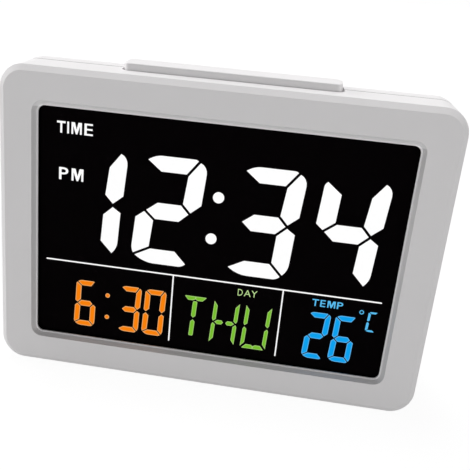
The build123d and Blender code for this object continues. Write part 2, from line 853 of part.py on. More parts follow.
def rear_cover():
    """The rear shell with the bay, the posts and every hole that the controls need."""
    shell = case_prism(0)
    shell = fillet(shell.faces().sort_by(Axis.Y)[-1].edges(), rear_edge_radius)
    shell = between_depths(shell, bezel_depth, far_depth)
    outward = Axis(FACE.origin, FACE.z_dir)
    shell = chamfer(shell.faces().sort_by(outward)[-1].edges(), seam_groove)
    room = case_prism(wall) & block(case_width, -case_depth, inner_back_y, base_z, top_z)
    shell -= room
    tongue = case_prism(tongue_inset) - case_prism(wall)
    shell += between_depths(tongue, bezel_depth - tongue_length, bezel_depth + seam_groove)
    limit = case_prism(wall / 2)
    for x, z in case_screw_places:
        post = rod_y(boss_radius, -case_depth, back_y - wall / 2, x, base_z + z) & limit
        shell += between_depths(post, bezel_depth, far_depth)
    for x, z in post_places:
        shell += rod_y(small_boss_radius, key_board_back, back_y - wall / 2, x, z)
    for side in (-1, 1):
        shell += rod_z(small_boss_radius, snooze_board_top, top_z - wall / 2, side * pillar_place, pillar_y)
    shell += slide_well(slide_well_margin + slide_floor, slide_inner, back_y - wall / 2)
    shell += rod_y(buzzer_radius + hole_clearance + buzzer_rim, inner_back_y - buzzer_rim_height,
                   back_y - wall / 2, buzzer_place, buzzer_z)
    shell -= rod_y(buzzer_radius + hole_clearance, -case_depth, inner_back_y, buzzer_place, buzzer_z)
    shell += bay_shell()
    shell = shell - bay_hollow() - door_opening() - hook_notches()
    shell = shell + bay_cradles() + socket_cradle()
    pilot = small_screw_radius + thread_clearance
    pilots = [rod_y(pilot, -case_depth, inner_back_y - thread_clearance, x, z) for x, z in post_places]
    pilots += [
        rod_z(pilot, base_z + wall, snooze_board_top + small_screw_length, side * pillar_place, pillar_y)
        for side in (-1, 1)
    ]
    for x, z in case_screw_places:
        seat = face_y(bezel_depth, z) + screw_seat
        pilots.append(rod_y(screw_radius + hole_clearance, -case_depth, back_y + wall, x, base_z + z))
        pilots.append(rod_y(counterbore_radius, seat, back_y + wall, x, base_z + z))
    return shell - pilots - back_holes() - snooze_slot() - foot_recesses()


def battery_door():
    """The door over the cells: a flush plate that turns on its rounded lower edge, with two
    hooks below and a thumb latch above."""
    front = back_y - door_thickness
    door = back_plate(door_length, door_height, front, back_y, 0, bay_z, door_corner - door_gap)
    door = fillet(door.faces().sort_by(Axis.Y)[-1].edges(), door_edge_radius)
    top = bay_z + door_height / 2
    for side in (-1, 1):
        leg_front = inner_back_y - stop_gap - hook_thickness
        door += block(hook_width, leg_front, front, door_low, door_low + hook_rise, side * hook_place)
        door += block(hook_width, leg_front, leg_front + hook_thickness, door_low - hook_reach,
                      door_low + hook_rise, side * hook_place)
        slit_x = side * (latch_width / 2 + latch_slit / 2)
        door -= block(latch_slit, front, back_y, top - latch_length, top, slit_x)
    nose_low = top - latch_nose
    door += block(latch_width, front, front + latch_nose_thickness, nose_low, top + latch_nose)
    step = grip_length / 4
    for i in range(3):
        z = top - latch_nose - (i + 1) * step
        door -= block(latch_width - 2 * latch_slit, back_y - grip_depth, back_y, z, z + step / 2)
    return door


def cell(direction):
    """One cell along X, with its raised end towards the given side."""
    can = cell_length - cell_nub_length
    body = Rot(0, 90, 0) * Cylinder(cell_radius, can)
    nub = Rot(0, 90, 0) * Cylinder(cell_nub_radius, cell_nub_length)
    nub = Pos(can / 2 + cell_nub_length / 2, 0, 0) * nub
    whole = Pos(-cell_nub_length / 2, 0, 0) * (body + nub)
    return whole if direction > 0 else Rot(0, 0, 180) * whole


def cell_direction(index):
    """Neighbouring cells point opposite ways."""
    return 1 if index % 2 == 0 else -1


cell_shift = (contact_bow + contact_thickness) / 2 - contact_thickness / 2


def placed_cell(index):
    """A cell in its bay, nearer to its flat contact than to its sprung one."""
    direction = cell_direction(index)
    return Pos(direction * cell_shift, cell_y, cell_zs[index]) * cell(direction)


def positive_contacts():
    """The flat contact plates at the raised ends of the cells."""
    plates = []
    for index, z in enumerate(cell_zs):
        x = cell_direction(index) * (bay_length / 2 - contact_thickness / 2)
        plates.append(Pos(x, cell_y, z) * Box(contact_thickness, contact_side, contact_side))
    return Compound(children=plates)


def sprung_contacts():
    """The contact plates with a bowed strip that presses on the flat ends of the cells."""
    rise = contact_bow
    half = contact_side / 2
    outer = make_face(
        ThreePointArc((0, -half), (rise, 0), (0, half))
        + Line((0, half), (0, half - contact_thickness))
        + ThreePointArc((0, half - contact_thickness), (rise - contact_thickness, 0),
                        (0, contact_thickness - half))
        + Line((0, contact_thickness - half), (0, -half))
    )
    bow = Pos(0, 0, -contact_width / 2) * extrude(outer, contact_width)
    one = bow + Pos(-contact_thickness / 2, 0, 0) * Box(contact_thickness, contact_side, contact_side)
    plates = []
    for index, z in enumerate(cell_zs):
        direction = cell_direction(index)
        x = -direction * (bay_length / 2 - contact_thickness)
        turned = one if direction > 0 else Rot(0, 0, 180) * one
        plates.append(Pos(x, cell_y, z) * turned)
    return Compound(children=plates)


def power_socket():
    """The round power inlet, with its nose in the back wall."""
    half = socket_side / 2
    body = block(socket_side, inner_back_y - socket_length, inner_back_y, socket_z - half, socket_z + half,
                 socket_place)
    nose = rod_y(socket_nose_radius, inner_back_y, back_y - socket_setback, socket_place, socket_z)
    bore_end = back_y - socket_setback - socket_bore_depth
    return body + nose - rod_y(socket_bore_radius, bore_end, back_y, socket_place, socket_z)


def socket_pin():
    """The pin in the middle of the power inlet."""
    bore_end = back_y - socket_setback - socket_bore_depth
    return rod_y(socket_pin_radius, bore_end, back_y - 2 * socket_setback - 1, socket_place, socket_z)


def alarm_buzzer():
    """The round sounder in its rim on the back wall, open towards the sound holes."""
    can = rod_y(buzzer_radius, inner_back_y - buzzer_thickness, inner_back_y, buzzer_place, buzzer_z)
    return can - rod_y(2 * sound_hole_radius, inner_back_y - buzzer_thickness / 2, back_y,
                       buzzer_place, buzzer_z)


def temperature_sensor():
    """The sensor bead behind the air slots, on two leads from the key board's lower edge."""
    y = key_board_back + sensor_lead_radius + thread_clearance
    solid = Pos(vent_place, y, vent_z) * Sphere(sensor_radius)
    lead_top = key_z - key_board_height / 2 + sensor_lead_overlap
    for side in (-1, 1):
        solid += rod_z(sensor_lead_radius, vent_z, lead_top, vent_place + side * sensor_lead_gap / 2, y)
    return solid


def case_screws():
    """The long screws that close the case from the back."""
    solids = []
    for x, z in case_screw_places:
        one = screw(screw_radius, screw_length, screw_head_radius, screw_head_height, recess=True)
        solids.append(Pos(x, face_y(bezel_depth, z) + screw_seat, base_z + z) * Rot(-90, 0, 0) * one)
    return Compound(children=solids)


def rubber_feet():
    """The four round feet in the base."""
    feet = []
    for x, y in foot_places():
        foot = rod_z(foot_radius - thread_clearance, 0, base_z + foot_recess, x, y)
        feet.append(fillet(foot.faces().sort_by(Axis.Z)[0].edges(), foot_edge_radius))
    return Compound(children=feet)


parts = {
    "front_bezel": front_bezel(),
    "display_lens": display_lens(),
    "lens_adhesive": lens_adhesive(),
    "lcd_panel": lcd_panel(),
    "backlight_plate": guide_plate(backlight_front, backlight_back),
    "reflector_sheet": guide_plate(backlight_back, reflector_back),
    "led_strip": led_strip(),
    "backlight_leds": backlight_leds(),
    "display_holder": display_holder(),
    "holder_screws": face_screws(ear_places, holder_depth, small_screw_length),
    "lcd_connector": lcd_connector(),
    "main_board": main_board(),
    "board_screws": face_screws(board_places, board_back, board_back - reflector_back - thread_clearance),
    "control_chip": control_chip(),
    "clock_crystal": clock_crystal(),
    "board_capacitors": board_capacitors(),
    "snooze_bar": snooze_bar(),
    "snooze_springs": snooze_springs(),
    "snooze_board": snooze_board(),
    "snooze_board_screws": snooze_board_screws(),
    "snooze_switch": snooze_switch(),
    "snooze_plunger": snooze_plunger(),
    "key_mat": key_mat(),
    "key_board": key_board(),
    "key_board_screws": key_board_screws(),
    "alarm_slide_knob": alarm_slide_knob(),
    "slide_switch_lever": slide_switch_lever(),
    "slide_switch": slide_switch(),
    "rear_cover": rear_cover(),
    "battery_door": battery_door(),
    "positive_contacts": positive_contacts(),
    "sprung_contacts": sprung_contacts(),
    "power_socket": power_socket(),
    "socket_pin": socket_pin(),
    "alarm_buzzer": alarm_buzzer(),
    "temperature_sensor": temperature_sensor(),
    "case_screws": case_screws(),
    "rubber_feet": rubber_feet(),
}
for name, place in zip(key_names, key_xs):
    parts[name] = key_cap(place)
for index, name in enumerate(cell_names):
    parts[name] = placed_cell(index)

os.makedirs("parts", exist_ok=True)
for name, solid in parts.items():
    export_step(solid, f"parts/{name}.step")
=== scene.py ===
"""Desk alarm clock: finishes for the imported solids, the lit display, the back's markings, light and camera."""
import json
import math

import bmesh
import bpy
from mathutils import Matrix, Vector


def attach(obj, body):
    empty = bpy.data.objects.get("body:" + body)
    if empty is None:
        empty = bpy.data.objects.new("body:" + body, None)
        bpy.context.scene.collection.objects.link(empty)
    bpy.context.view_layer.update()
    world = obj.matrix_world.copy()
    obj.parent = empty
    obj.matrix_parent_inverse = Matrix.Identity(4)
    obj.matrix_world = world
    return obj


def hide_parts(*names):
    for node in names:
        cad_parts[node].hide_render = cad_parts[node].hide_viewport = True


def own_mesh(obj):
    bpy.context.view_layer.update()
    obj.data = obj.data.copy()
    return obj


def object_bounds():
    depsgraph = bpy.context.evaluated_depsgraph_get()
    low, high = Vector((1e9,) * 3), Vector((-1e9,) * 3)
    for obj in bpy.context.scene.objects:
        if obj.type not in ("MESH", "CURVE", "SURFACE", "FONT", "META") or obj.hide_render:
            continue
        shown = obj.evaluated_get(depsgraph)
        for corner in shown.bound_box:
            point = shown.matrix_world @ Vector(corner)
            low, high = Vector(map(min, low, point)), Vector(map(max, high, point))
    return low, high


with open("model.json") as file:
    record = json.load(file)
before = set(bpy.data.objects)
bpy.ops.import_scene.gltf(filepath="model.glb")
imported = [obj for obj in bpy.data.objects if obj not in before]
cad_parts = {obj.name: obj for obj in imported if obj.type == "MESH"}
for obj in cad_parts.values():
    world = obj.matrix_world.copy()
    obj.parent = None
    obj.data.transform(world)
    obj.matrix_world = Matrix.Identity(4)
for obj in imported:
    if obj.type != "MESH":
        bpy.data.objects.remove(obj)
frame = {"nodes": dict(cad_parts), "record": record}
cad_low, cad_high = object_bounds()

# Camera, from the photograph's perspective
SENSOR_WIDTH = 36.0
FOCAL_PIXELS = 540.0
PICTURE_PIXELS = 470.0
NEAR_CLIP = 0.01
CAMERA_PLACE = Vector((0.02465, -0.18485, 0.1528))
CAMERA_RIGHT = Vector((0.98841, 0.13282, 0.07354))
CAMERA_DOWN = Vector((0.12588, -0.44617, -0.88605))
CAMERA_FORWARD = Vector((-0.08487, 0.88504, -0.45771))

# The leaning face as the solids have it, from its foot
LEAN = math.radians(12)
FACE_FOOT = Vector((0, -0.023216, 0.0008))
FACE_UP = Vector((0, math.sin(LEAN), math.cos(LEAN)))
FACE_IN = Vector((0, math.cos(LEAN), -math.sin(LEAN)))

# The window in the face, the slope and the ledge round it, and what lies behind the face
WINDOW_MIDDLE = 0.05725
WINDOW_WIDTH = 0.1367
WINDOW_HEIGHT = 0.0891
SLOPE_WIDTH = 0.00165
LEDGE_DEPTH = 0.0019
PANEL_DEPTH = 0.0043
SEAM_DEPTH = 0.0128
SEAM_GROOVE = 0.00036

# The snooze bar's front edge, and along a cell where its pale band, its nub and its flat end are
BAR_EDGE_Y = 0.0094
CELL_BAND_START = 0.0120
CELL_NUB_START = 0.0230
CELL_FLAT_END = -0.0203

# Levels of light, and the pale floor's size, paint, and share and level of glow
SKY_LEVEL = 0.24
FLOOR_SIZE = 6.0
FLOOR_TONE = 0.32
FLOOR_SHARE = 0.76
FLOOR_GLOW = 1.245
# Each lamp's strength, spread in degrees, and direction from the clock
LAMPS = {
    "top_lamp": (2.2, 20, (-0.2, 0.36, 0.91)),
    "left_lamp": (1.95, 25, (-0.95, 0.2, 0.2)),
    "right_lamp": (0.5, 25, (0.95, 0.25, 0.2)),
    "front_lamp": (1.09, 10, (0, -1, 0.14)),
}

# Painted shade and painted light on the case, linear: the slope round the window painted greyer at its sides
# and foot and whiter at its head, the seam painted with a dark line, the snooze bar's front edge painted greyer
SLOPE_PAINTED_SHADE = (0.72, 0.71, 0.715)
SLOPE_FOOT_PAINTED_SHADE = (0.52, 0.51, 0.515)
SLOPE_HEAD_PAINTED_LIGHT = (0.98, 0.97, 0.975)
SEAM_PAINTED_SHADE = (0.46, 0.45, 0.455)
BAR_EDGE_PAINTED_SHADE = (0.60, 0.59, 0.595)
# How near its depth a surface with painted shade lies, and where and over what width one painted shade or light
# fades into the next
SHADE_MARGIN = 0.0001
FOOT_FADE_START = 0.001
FOOT_FADE = 0.00125
HEAD_FADE_START = 0.0008
HEAD_FADE = 0.0005
BAR_FADE = 0.0005
# Share of the slope's painted shade that the ledge takes
LEDGE_PAINTED_SHADE = 0.8

# Thickness of the films of light and ink, and the share of the ink that lies in the back
FILM = 0.0001
INK_SUNK = 0.95
# Points nearer than this are one
WELD = 0.000001


class Socket:
    """One shader value. Sums on it add the Math nodes."""

    def __init__(self, shader, socket):
        self.shader = shader
        self.socket = socket

    def sum(self, operation, first, second):
        return self.shader.sum(operation, first, second)

    def __add__(self, other):
        return self.sum("ADD", self, other)

    def __sub__(self, other):
        return self.sum("SUBTRACT", self, other)

    def __rsub__(self, other):
        return self.sum("SUBTRACT", other, self)

    def __mul__(self, other):
        return self.sum("MULTIPLY", self, other)

    def __gt__(self, other):
        return self.sum("GREATER_THAN", self, other)

    def __lt__(self, other):
        return self.sum("LESS_THAN", self, other)

    def size(self):
        """The value without its sign."""
        return self.sum("ABSOLUTE", self, 0.0)

    __radd__ = __add__
    __rmul__ = __mul__


class Shader:
    """The node tree of a material or of the world."""

    def __init__(self, owner):
        owner.use_nodes = True
        self.owner = owner
        self.tree = owner.node_tree
        self.tree.nodes.clear()

    def node(self, kind, settings=None, inputs=None, output=0):
        """Adds one node: its settings first, then the values or links of its sockets."""
        made = self.tree.nodes.new(kind)
        for name, value in (settings or {}).items():
            setattr(made, name, value)
        for name, value in (inputs or {}).items():
            if isinstance(value, Socket):
                self.tree.links.new(value.socket, made.inputs[name])
            else:
                made.inputs[name].default_value = value
        return Socket(self, made.outputs[output]) if made.outputs else self

    def sum(self, operation, first, second):
        """Adds one Math node."""
        return self.node("ShaderNodeMath", {"operation": operation}, {0: first, 1: second})

    def place(self):
        """Object coordinates, in metres."""
        return self.node("ShaderNodeTexCoord", output="Object")

    def along(self, direction, origin=(0, 0, 0)):
        """How far a point is from the origin along this direction, in metres."""
        offset = self.node("ShaderNodeVectorMath", {"operation": "SUBTRACT"}, {0: self.place(), 1: origin})
        return self.node("ShaderNodeVectorMath", {"operation": "DOT_PRODUCT"}, {0: offset, 1: direction},
                         output="Value")

    def noise(self, scale, detail=2.0):
        return self.node("ShaderNodeTexNoise",
                         inputs={"Vector": self.place(), "Scale": scale, "Detail": detail}, output="Fac")

    def blend(self, factor, first, second):
        """Colour from the first to the second as the factor goes from 0 to 1."""
        first = first if isinstance(first, Socket) else (*first, 1)
        second = second if isinstance(second, Socket) else (*second, 1)
        return self.node("ShaderNodeMix", {"data_type": "RGBA"}, {"Factor": factor, 6: first, 7: second},
                         output=2)

    def bump(self, height, distance, strength=1.0):
        return self.node("ShaderNodeBump",
                         inputs={"Height": height, "Distance": distance, "Strength": strength},
                         output="Normal")

    def surface(self, **inputs):
        """Ends the tree in the principled shader, with these sockets set."""
        named = {name.replace("_", " "): value for name, value in inputs.items()}
        shader = self.node("ShaderNodeBsdfPrincipled", inputs=named, output="BSDF")
        self.node("ShaderNodeOutputMaterial", inputs={"Surface": shader})
        return self.owner


def shader_for(name):
    return Shader(bpy.data.materials.new(name))


def moulded_plastic(name, shade=None):
    """Satin white moulding: a fine spark-eroded grain, a faint unevenness of tone, and painted shade on top
    where it is given.
    """
    s = shader_for(name)
    colour = s.blend(s.noise(60), (0.772, 0.758, 0.764), (0.800, 0.786, 0.792))
    if shade:
        colour = shade(s, colour)
    rough = 0.40 + s.noise(900) * 0.10
    return s.surface(Base_Color=colour, Roughness=rough, Normal=s.bump(s.noise(3200, 3), 0.00003, 0.5))


def painted_case_shade(s, colour):
    """Painted shade on the sides and foot of the slope round the window and of its ledge, painted light on its
    head, and a painted dark line of shade in the seam."""
    high = WINDOW_HEIGHT / 2
    depth = s.along(FACE_IN, FACE_FOOT)
    across = s.along((1, 0, 0), FACE_FOOT).size()
    up = s.along(FACE_UP, FACE_FOOT + FACE_UP * WINDOW_MIDDLE)
    inside = (across < WINDOW_WIDTH / 2 + SLOPE_WIDTH) * (up > -high - SLOPE_WIDTH)
    slope = (inside * (depth > SHADE_MARGIN) * (depth < LEDGE_DEPTH - SHADE_MARGIN)
             * (up < high + SLOPE_WIDTH))
    ledge = (inside * (depth > LEDGE_DEPTH - SHADE_MARGIN) * (depth < LEDGE_DEPTH + SHADE_MARGIN)
             * (up < high))
    foot = (FOOT_FADE_START - high - up) * (1 / FOOT_FADE)
    head = (up - (high - HEAD_FADE_START)) * (1 / HEAD_FADE)
    # Painted shade at the sides and foot of the slope, painted light at its head
    grey = s.blend(head, s.blend(foot, SLOPE_PAINTED_SHADE, SLOPE_FOOT_PAINTED_SHADE), SLOPE_HEAD_PAINTED_LIGHT)
    colour = s.blend(slope + ledge * LEDGE_PAINTED_SHADE, colour, grey)
    # A painted dark line of shade along the seam between the shells
    seam = (depth - SEAM_DEPTH).size() < SEAM_GROOVE
    return s.blend(seam, colour, SEAM_PAINTED_SHADE)


def painted_bar_shade(s, colour):
    """Painted shade: the snooze bar's front edge painted greyer."""
    edge = (BAR_EDGE_Y - s.along((0, 1, 0))) * (1 / BAR_FADE)
    # The bar's front edge painted greyer as shade
    return s.blend(edge, colour, BAR_EDGE_PAINTED_SHADE)


def clear_pane():
    """Clear pane with a film that takes its gloss away: nothing of it shows but a faint unevenness."""
    s = shader_for("clear_window_pane")
    veil = 0.01 + s.noise(40) * 0.02
    return s.surface(Base_Color=(0, 0, 0, 1), Roughness=0.4, Specular_IOR_Level=0.0, Alpha=veil)


def panel_glass():
    """Black liquid-crystal glass with the faintest mottle."""
    s = shader_for("black_panel_glass")
    colour = s.blend(s.noise(300), (0.0022, 0.0015, 0.0018), (0.0030, 0.0022, 0.0026))
    return s.surface(Base_Color=colour, Roughness=0.3, Specular_IOR_Level=0.0)


def light_guide():
    """Clear moulded plate with the dots that spread the lamps' light."""
    s = shader_for("dotted_light_guide")
    dots = s.node("ShaderNodeTexVoronoi", inputs={"Vector": s.place(), "Scale": 900.0, "Randomness": 0.0})
    colour = s.blend(dots < 0.35, (0.62, 0.66, 0.68), (0.86, 0.88, 0.88))
    return s.surface(Base_Color=colour, Roughness=0.15)


def grained(name, mottle, dark, light, roughness, grain, depth, strength):
    """Plain moulding or rubber: a mottled tone and a fine grain of this depth."""
    s = shader_for(name)
    return s.surface(Base_Color=s.blend(s.noise(mottle), dark, light), Roughness=roughness,
                     Normal=s.bump(s.noise(grain), depth, strength))


def black_foam():
    """Adhesive foam: open cells on a dull black."""
    s = shader_for("adhesive_foam")
    cells = s.node("ShaderNodeTexVoronoi", inputs={"Vector": s.place(), "Scale": 2500.0})
    colour = s.blend(cells, (0.010, 0.010, 0.010), (0.030, 0.030, 0.030))
    return s.surface(Base_Color=colour, Roughness=0.9, Normal=s.bump(cells, 0.0001))


def contact_rubber():
    """Contact strip: thin black and grey layers, side by side along the strip."""
    s = shader_for("layered_contact_rubber")
    layers = s.node("ShaderNodeTexWave", {"bands_direction": "X"}, {"Vector": s.place(), "Scale": 900.0})
    colour = s.blend(layers, (0.012, 0.012, 0.012), (0.16, 0.16, 0.17))
    return s.surface(Base_Color=colour, Roughness=0.7)


def circuit_board():
    """Green solder mask with copper tracks showing paler through it."""
    s = shader_for("green_circuit_board")
    edges = s.node("ShaderNodeTexVoronoi", {"feature": "DISTANCE_TO_EDGE"},
                   {"Vector": s.place(), "Scale": 260.0, "Randomness": 0.55})
    track = (edges > 0.06) * (edges < 0.13)
    colour = s.blend(track, (0.008, 0.085, 0.028), (0.040, 0.215, 0.075))
    return s.surface(Base_Color=colour, Roughness=0.38 - track * 0.08, Normal=s.bump(track, 0.00004))


def metal(name, dark, light, roughness, grain):
    """Plated metal with a fine grain in its tone and its gloss."""
    s = shader_for(name)
    streak = s.noise(grain, 4)
    colour = s.blend(streak, dark, light)
    return s.surface(Base_Color=colour, Metallic=1.0, Roughness=roughness + streak * 0.15)


def cell_jacket(name, side):
    """Two-tone film jacket with a faint shrink ripple; the nub on this side and the flat end are bare."""
    s = shader_for(name)
    toward_nub = s.along((side, 0, 0))
    bare = (toward_nub > CELL_NUB_START) + (toward_nub < CELL_FLAT_END)
    ripple = s.noise(220)
    dark = s.blend(ripple, (0.018, 0.024, 0.038), (0.032, 0.040, 0.058))
    pale = s.blend(ripple, (0.30, 0.31, 0.33), (0.36, 0.37, 0.39))
    jacket = s.blend(toward_nub > CELL_BAND_START, dark, pale)
    return s.surface(Base_Color=s.blend(bare, jacket, (0.62, 0.61, 0.59)), Metallic=bare,
                     Roughness=0.22 + ripple * 0.12, Normal=s.bump(ripple, 0.0001, 0.3))


def lit_film(name, colour):
    """Lit segment: even light, a shade lower in faint patches."""
    s = shader_for(name)
    dimmer = tuple(level * 0.95 for level in colour)
    light = s.blend(s.noise(500), colour, dimmer)
    return s.surface(Base_Color=(0, 0, 0, 1), Roughness=0.6, Specular_IOR_Level=0.0,
                     Emission_Color=light, Emission_Strength=1.07)


def marking_ink():
    """Grey printing on the back."""
    s = shader_for("grey_marking_ink")
    colour = s.blend(s.noise(1500), (0.10, 0.10, 0.11), (0.15, 0.15, 0.16))
    return s.surface(Base_Color=colour, Roughness=0.55)


FINISHES = {
    "case_plastic": moulded_plastic("white_case_moulding", painted_case_shade),
    "clear_pane": clear_pane(),
    "display_glass": panel_glass(),
    "clear_plastic": light_guide(),
    "white_plastic": grained("white_inner_moulding", 80, (0.78, 0.78, 0.75), (0.84, 0.84, 0.82), 0.5,
                             1500, 0.00003, 0.5),
    "black_foam": black_foam(),
    "black_rubber": contact_rubber(),
    "grey_rubber": grained("matt_grey_rubber", 200, (0.085, 0.085, 0.088), (0.125, 0.125, 0.128), 0.75,
                           2600, 0.00005, 0.6),
    "circuit_board": circuit_board(),
    "black_resin": grained("black_moulded_resin", 500, (0.012, 0.012, 0.013), (0.024, 0.024, 0.026), 0.45,
                           2400, 0.00003, 0.6),
    "screw_steel": metal("zinc_plated_steel", (0.42, 0.42, 0.43), (0.58, 0.58, 0.59), 0.30, 700.0),
    "spring_steel": metal("spring_wire", (0.38, 0.38, 0.39), (0.52, 0.52, 0.53), 0.28, 900.0),
    "bright_metal": metal("nickel_plate", (0.60, 0.59, 0.56), (0.74, 0.73, 0.70), 0.16, 500.0),
    "cell_jacket": cell_jacket("cell_film_jacket", 1),
}


def finish_solids():
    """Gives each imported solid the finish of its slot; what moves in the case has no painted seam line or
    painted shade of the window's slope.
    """
    moving = moulded_plastic("white_key_moulding")
    own = {"front_bezel": FINISHES["case_plastic"], "rear_cover": FINISHES["case_plastic"],
           "snooze_bar": moulded_plastic("white_bar_moulding", painted_bar_shade),
           "battery_2": cell_jacket("turned_cell_film_jacket", -1)}
    for part in frame["record"]["subparts"]:
        mesh = frame["nodes"][part["node"]].data
        mesh.materials.clear()
        cased = part["material_slot"] == "case_plastic"
        mesh.materials.append(own.get(part["node"], moving if cased else FINISHES[part["material_slot"]]))


def on_panel():
    """Where a thing drawn flat goes on the panel's front glass: x across, y up the face, z out."""
    turned = Matrix((Vector((1, 0, 0)), FACE_UP, -FACE_IN)).transposed().to_4x4()
    return Matrix.Translation(FACE_FOOT + FACE_UP * WINDOW_MIDDLE + FACE_IN * PANEL_DEPTH) @ turned


def on_back():
    """Where a thing drawn flat goes on the upright back, read from behind."""
    turned = Matrix(((-1, 0, 0), (0, 0, 1), (0, 1, 0))).transposed().to_4x4()
    return Matrix.Translation((0, cad_high[1] - FILM * INK_SUNK, 0)) @ turned


def finished_piece(name, bm, finishes, body):
    """Makes the drawn shape a piece of the object that rides on a body."""
    mesh = bpy.data.meshes.new(name)
    bm.to_mesh(mesh)
    bm.free()
    for finish in finishes:
        mesh.materials.append(finish)
    piece = bpy.data.objects.new(name, mesh)
    bpy.context.scene.collection.objects.link(piece)
    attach(piece, body)
    return piece


def film_piece(name, bm, finishes, place):
    """Gives flat shapes their film's thickness and lays them in place."""
    grown = bmesh.ops.extrude_face_region(bm, geom=bm.faces[:])
    raised = [item for item in grown["geom"] if isinstance(item, bmesh.types.BMVert)]
    bmesh.ops.translate(bm, verts=raised, vec=(0, 0, FILM))
    bmesh.ops.recalc_face_normals(bm, faces=bm.faces[:])
    bm.transform(place)
    return finished_piece(name, bm, finishes, "case")


def rounded(bm, corners, radius):
    """Rounds these corners of a flat shape."""
    bmesh.ops.bevel(bm, geom=corners, offset=radius, segments=4, profile=0.5, affect="VERTICES",
                    material=-1)


# Which segments each figure lights
SEGMENTS = {
    "0": "abcdef",
    "1": "bc",
    "2": "abdeg",
    "3": "abcdg",
    "4": "bcfg",
    "6": "acdefg",
    "C": "adef",
}


def figure(bm, lit, middle, width, height, upright, level, gap, slant):
    """Draws one seven-segment figure: a net of bars, rounded, each drawn in by half the gap."""
    right, top = width / 2, height / 2

    def corner(side, up, inward, downward):
        """A point measured in strokes inward from a corner of the figure."""
        return (side * (right - inward * upright), up * (top - downward * level))

    def waist(side, inward, rise):
        """A point near the middle bar, measured in strokes."""
        return (side * (right - inward * upright), rise * level)

    top_left, top_right = corner(-1, 1, 0.19, 0.34), corner(1, 1, 0.48, 0.15)
    low_left, low_right = corner(-1, -1, 0.17, 0.48), corner(1, -1, 0.30, 0.26)
    inner_tl, inner_tr = corner(-1, 1, 1, 1), corner(1, 1, 1, 1)
    inner_bl, inner_br = corner(-1, -1, 1, 1), corner(1, -1, 1, 1)
    left, right_point = waist(-1, 0.45, 0), waist(1, 0.55, 0)
    upper_left, upper_right = waist(-1, 1.03, 0.54), waist(1, 1.05, 0.54)
    lower_left, lower_right = waist(-1, 1.03, -0.54), waist(1, 1.03, -0.54)
    # Each segment's outline, and how far which of its points are rounded, in strokes
    outlines = {
        "a": ([top_left, corner(-1, 1, 0.62, 0), corner(1, 1, 0.62, 0), top_right, inner_tr, inner_tl],
              {1: 0.30, 2: 0.10}),
        "b": ([top_right, corner(1, 1, 0.02, 0.30), waist(1, 0.02, 0.54), right_point, upper_right,
               inner_tr], {1: 0.42}),
        "c": ([low_right, corner(1, -1, 0.0, 0.62), waist(1, 0.05, -0.36), right_point, lower_right,
               inner_br], {1: 0.30}),
        "d": ([low_left, corner(-1, -1, 0.78, 0), corner(1, -1, 0.50, 0), low_right, inner_br, inner_bl],
              {1: 0.45, 2: 0.20}),
        "e": ([low_left, corner(-1, -1, 0.0, 0.80), waist(-1, 0.0, -0.42), left, lower_left, inner_bl],
              {1: 0.20}),
        "f": ([top_left, corner(-1, 1, 0.0, 0.52), waist(-1, 0.02, 0.38), left, upper_left, inner_tl],
              {1: 0.12}),
        "g": ([left, upper_left, upper_right, right_point, lower_right, lower_left], {}),
    }
    for segment in lit:
        points, radii = outlines[segment]
        verts = [bm.verts.new((middle[0] + x + y * slant, middle[1] + y, 0)) for x, y in points]
        face = bm.faces.new(verts)
        face.normal_update()
        rim = bmesh.ops.inset_individual(bm, faces=[face], thickness=gap / 2, use_even_offset=True)["faces"]
        corners = list(face.verts)
        bmesh.ops.delete(bm, geom=rim, context="FACES")
        for index, radius in radii.items():
            rounded(bm, [corners[index]], radius * upright)


def dot(bm, x, y, diameter):
    """A round dot of the display."""
    bmesh.ops.create_circle(bm, cap_ends=True, segments=32, radius=diameter / 2,
                            matrix=Matrix.Translation((x, y, 0)))


def ring(bm, x, y, diameter, stroke):
    """The ring of the degree sign."""
    dot(bm, x, y, diameter)
    bm.faces.ensure_lookup_table()
    disc = bm.faces[-1]
    disc.normal_update()
    bmesh.ops.inset_individual(bm, faces=[disc], thickness=stroke, use_even_offset=True)
    bmesh.ops.delete(bm, geom=[disc], context="FACES")


def strip(bm, low, high, rounding):
    """A straight rule with rounded ends."""
    made = bmesh.ops.create_grid(bm, x_segments=1, y_segments=1, size=0.5)["verts"]
    bmesh.ops.scale(bm, verts=made, vec=(high[0] - low[0], high[1] - low[1], 1))
    bmesh.ops.translate(bm, verts=made, vec=((low[0] + high[0]) / 2, (low[1] + high[1]) / 2, 0))
    rounded(bm, made, rounding)


# The rim round the bars of the small figures and letters, in the second of their lights
RIM_WIDTH = 0.00024


def rimmed(bm):
    """Gives each bar a rim, which takes the second finish."""
    for face in bm.faces:
        face.normal_update()
    rims = bmesh.ops.inset_individual(bm, faces=bm.faces[:], thickness=RIM_WIDTH, use_even_offset=True)
    for face in rims["faces"]:
        face.material_index = 1


# The bars of the day's letters, for the upper left quarter of a cell: in strokes across, in half heights up
QUARTER_BARS = {
    "side": ((-3.08, 0.93), (-2.18, 0.73), (-2.18, 0.13), (-2.78, 0.035), (-3.08, 0.13)),
    "end": ((-2.63, 0.985), (-2.45, 1.0), (0, 1.0), (0, 0.875), (-0.55, 0.82), (-1.75, 0.82)),
    "stem": ((-0.53, 0.74), (-0.40, 0.78), (0.40, 0.78), (0.53, 0.74), (0.53, 0.13), (0, 0.045),
             (-0.53, 0.13)),
    "waist": ((-2.40, 0), (-1.75, 0.09), (-0.70, 0.09), (-0.30, 0), (-0.70, -0.09), (-1.75, -0.09)),
}
